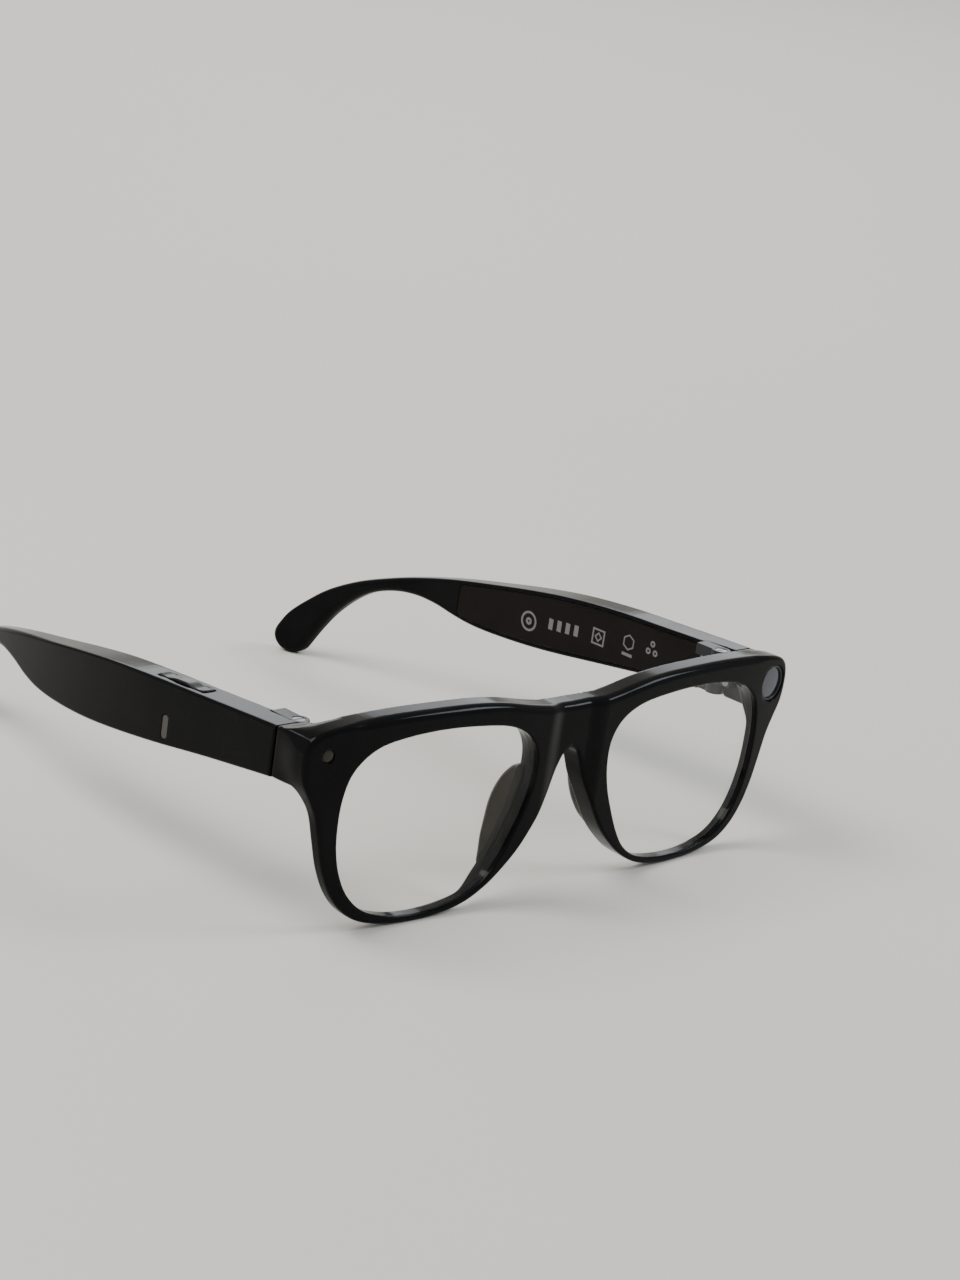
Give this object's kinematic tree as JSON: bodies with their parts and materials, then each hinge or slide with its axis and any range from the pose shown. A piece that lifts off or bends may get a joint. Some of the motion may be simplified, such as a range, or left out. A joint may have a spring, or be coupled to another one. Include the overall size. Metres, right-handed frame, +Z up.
{
  "type": "smart glasses",
  "caption": "Full-rim smart glasses with clear lenses, a corner camera, an indicator light, folding electronic temples, a capture button and a power slider.",
  "frame": {"origin": "middle of the overall box with the temples open, on the plane that the rims and temple tips stand on", "axes": "+X to the wearer's left, +Y from the front towards the ears, +Z up"},
  "size_m": [0.1384, 0.1458, 0.0436],
  "materials": {
    "gloss_frame": "polished gloss black, moulded",
    "inner_cover": "gloss black, slightly softer than the frame",
    "nose_pad": "gloss black, polished",
    "clear_lens": "clear, anti-reflection coated",
    "dark_bezel": "satin black",
    "camera_glass": "dark coated cover glass",
    "indicator_lens": "smoked diffuser",
    "led_lens": "yellow phosphor",
    "circuit_board": "green solder mask",
    "flex_film": "amber polyimide film",
    "brass_can": "stamped",
    "gold_contact": "gold plated, polished",
    "hinge_steel": "fine brushed",
    "screw_steel": "turned",
    "black_chip": "moulded epoxy",
    "tin_shield": "tinned sheet",
    "speaker_box": "fine texture",
    "grille": "black etched mesh",
    "badge": "plain satin inlay",
    "battery_foil": "wrapped pouch",
    "button": "satin black"
  },
  "bodies": {
    "front": {"front_frame": "gloss_frame", "brow_cover": "inner_cover", "lens_right": "clear_lens", "lens_left": "clear_lens", "nose_pad_right": "nose_pad", "nose_pad_left": "nose_pad", "camera_ring": "dark_bezel", "camera_window": "camera_glass", "camera_housing": "dark_bezel", "camera_lens_barrel": "dark_bezel", "camera_sensor_board": "circuit_board", "indicator_window": "indicator_lens", "indicator_led": "led_lens", "indicator_board": "circuit_board", "front_flex_cable": "flex_film", "bridge_microphone": "brass_can", "charge_contact_block": "inner_cover", "charge_contact_pads": "gold_contact", "front_hinge_leaf_right": "hinge_steel", "front_hinge_leaf_left": "hinge_steel", "front_leaf_screws": "screw_steel"},
    "right_temple": {"temple_shell_right": "gloss_frame", "temple_cover_right": "inner_cover", "temple_hinge_leaf_right": "hinge_steel", "hinge_screw_right": "screw_steel", "temple_leaf_screws_right": "screw_steel", "main_board": "circuit_board", "processor_chips": "black_chip", "rf_shield": "tin_shield", "capture_switch": "tin_shield", "touch_pad": "flex_film", "speaker_right": "speaker_box", "speaker_grille_right": "grille", "antenna_right": "brass_can", "microphone_right": "brass_can", "badge_right": "badge"},
    "left_temple": {"temple_shell_left": "gloss_frame", "temple_cover_left": "inner_cover", "temple_hinge_leaf_left": "hinge_steel", "hinge_screw_left": "screw_steel", "temple_leaf_screws_left": "screw_steel", "battery": "battery_foil", "battery_board": "circuit_board", "power_switch": "tin_shield", "speaker_left": "speaker_box", "speaker_grille_left": "grille", "antenna_left": "brass_can", "microphone_left": "brass_can", "badge_left": "badge"},
    "capture_button": {"capture_button": "button"},
    "power_slider": {"power_slider": "button"}
  },
  "joints": [
    {"name": "left_hinge", "type": "hinge", "parent": "front", "child": "left_temple", "pos_m": [0.0606, -0.05655, 0.03485], "axis": [0, 0, 1], "range_deg": [0, 86]},
    {"name": "right_hinge", "type": "hinge", "parent": "front", "child": "right_temple", "pos_m": [-0.0606, -0.05655, 0.03485], "axis": [0, 0, -1], "range_deg": [0, 74]},
    {"name": "capture_press", "type": "slide", "parent": "right_temple", "child": "capture_button", "axis": [0, -0.0558, -0.9984], "range_m": [0, 0.0004], "stiffness_N_per_m": 1500},
    {"name": "power_slide", "type": "slide", "parent": "left_temple", "child": "power_slider", "axis": [0.0297, 0.9898, -0.1392], "range_m": [0, 0.002]}
  ]
}
